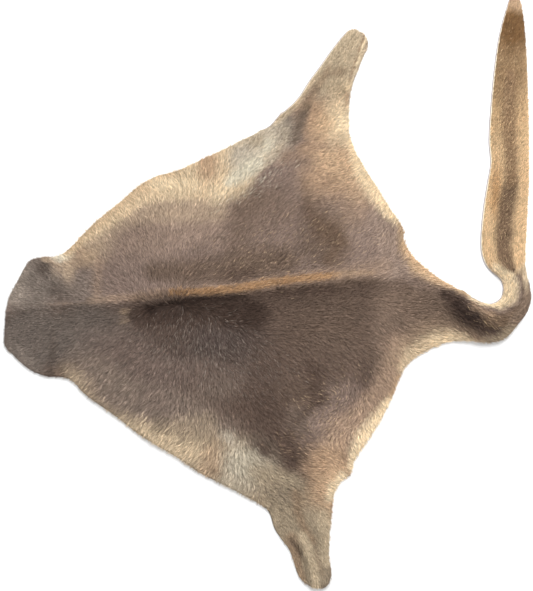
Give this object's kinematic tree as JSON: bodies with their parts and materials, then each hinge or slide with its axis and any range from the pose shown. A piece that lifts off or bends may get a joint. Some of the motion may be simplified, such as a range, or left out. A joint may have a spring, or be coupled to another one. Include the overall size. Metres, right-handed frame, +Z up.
{
  "type": "kangaroo hide",
  "caption": "Tanned kangaroo hide with its coat on, opened flat with hind legs and tail, laid coat side up with a raised backbone line.",
  "frame": {"origin": "on the floor, under the middle of the hide's box", "axes": "+X from the head to the root of the tail, +Y across the hide towards the leg beside the tail's tip, +Z up from the floor to the coat"},
  "size_m": [1.0586, 1.201, 0.0301],
  "materials": {
    "coat": "short lying animal coat, grey brown on the back, cream on the flanks, matt with a slight sheen"
  },
  "bodies": {
    "root": {"hide": "coat"}
  },
  "joints": []
}
